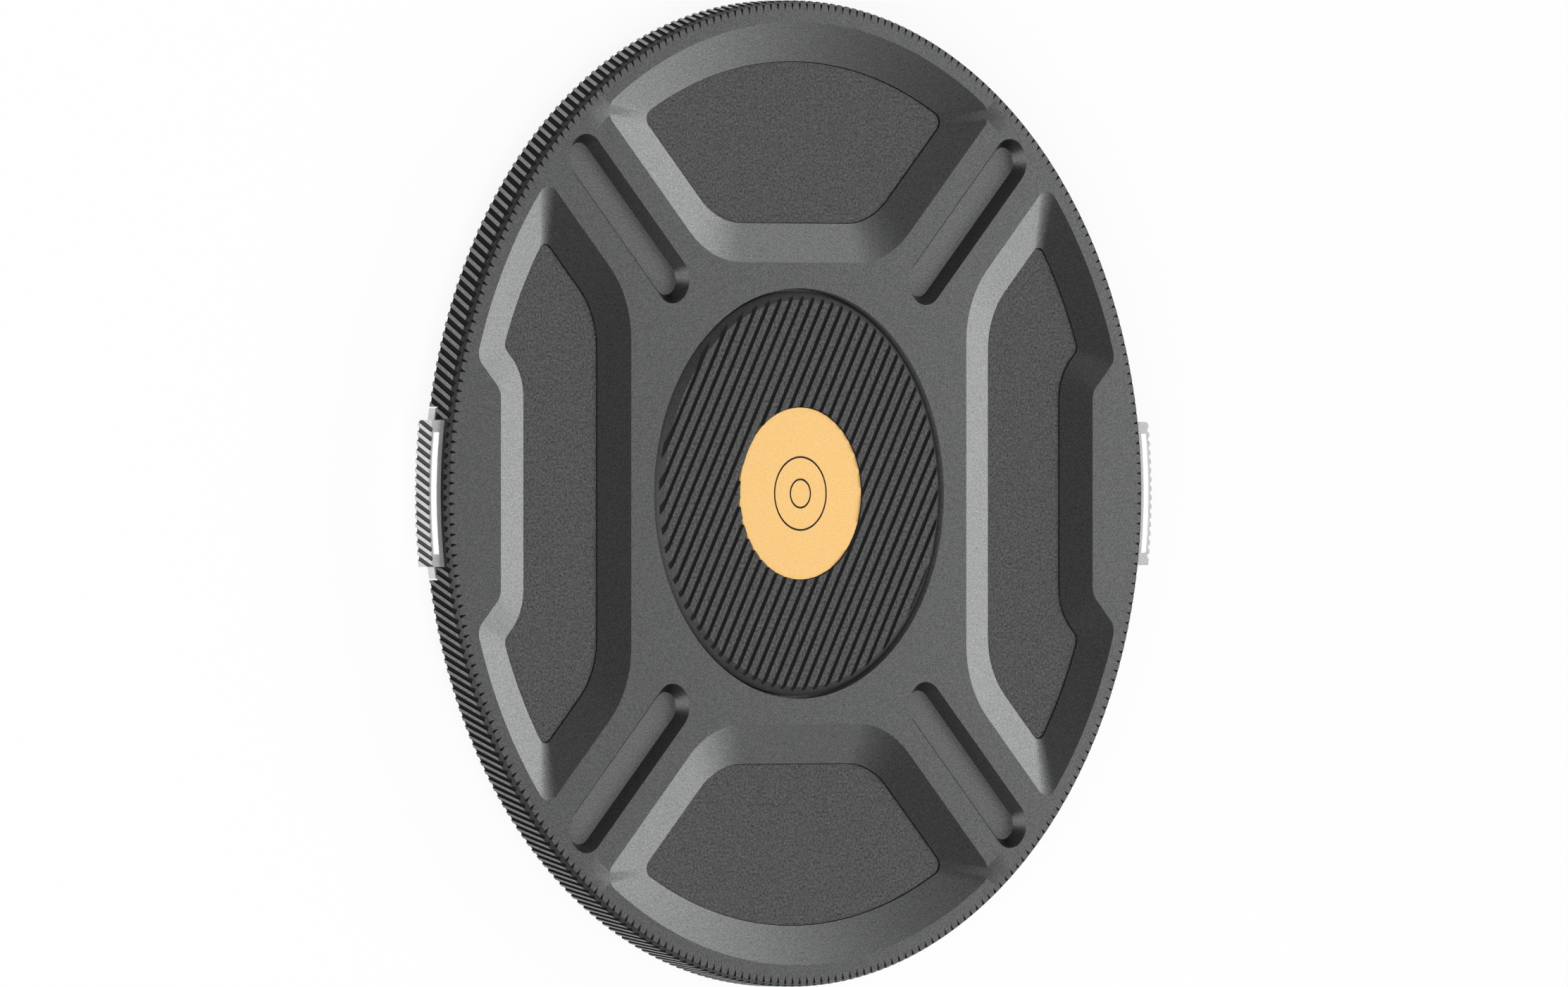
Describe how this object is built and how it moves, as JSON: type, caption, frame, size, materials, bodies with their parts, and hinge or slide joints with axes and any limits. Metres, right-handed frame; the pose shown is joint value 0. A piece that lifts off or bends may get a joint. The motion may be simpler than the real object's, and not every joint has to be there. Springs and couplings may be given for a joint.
{
  "type": "filter cap",
  "caption": "Flat round protective cap with a knurled rim, sloped pockets, a ribbed centre disc and a sprung side button at each side that draws in a thread jaw.",
  "frame": {"origin": "centre of the rear face that it lies on", "axes": "+Z out of the front face along the optical axis; the two buttons lie on -X and +X"},
  "size_m": [0.0942, 0.0906, 0.0057],
  "materials": {
    "shell": "grey anodised, fine bead blast",
    "pad": "coarse grained",
    "disc": "grained, ribbed",
    "gold": "satin",
    "cover": "fine grain",
    "dark_screw": "blackened",
    "rod": "ground",
    "silver": "clear anodised, bead blast",
    "white_line": "white fill",
    "jaw": "moulded",
    "steel_screw": "bright",
    "spring": "bright wire"
  },
  "bodies": {
    "cap": {"front_shell": "shell", "pad_top": "pad", "pad_bottom": "pad", "pad_left": "pad", "pad_right": "pad", "centre_disc": "disc", "badge": "gold", "rear_cover": "cover", "cover_screws": "dark_screw", "guide_rod_upper": "rod", "guide_rod_lower": "rod", "spring_left_upper": "spring", "spring_left_lower": "spring", "spring_right_upper": "spring", "spring_right_lower": "spring"},
    "left_slide": {"button_left": "silver", "line_left": "white_line", "jaw_left": "jaw", "jaw_screws_left": "steel_screw"},
    "right_slide": {"button_right": "silver", "line_right": "white_line", "jaw_right": "jaw", "jaw_screws_right": "steel_screw"}
  },
  "joints": [
    {"name": "left_press", "type": "slide", "parent": "cap", "child": "left_slide", "axis": [1, 0, 0], "range_m": [0, 0.0016], "stiffness_N_per_m": 800, "springref_m": -0.001, "deforming": ["spring_left_upper", "spring_left_lower"]},
    {"name": "right_press", "type": "slide", "parent": "cap", "child": "right_slide", "axis": [-1, 0, 0], "range_m": [0, 0.0016], "stiffness_N_per_m": 800, "springref_m": -0.001, "deforming": ["spring_right_upper", "spring_right_lower"]}
  ]
}
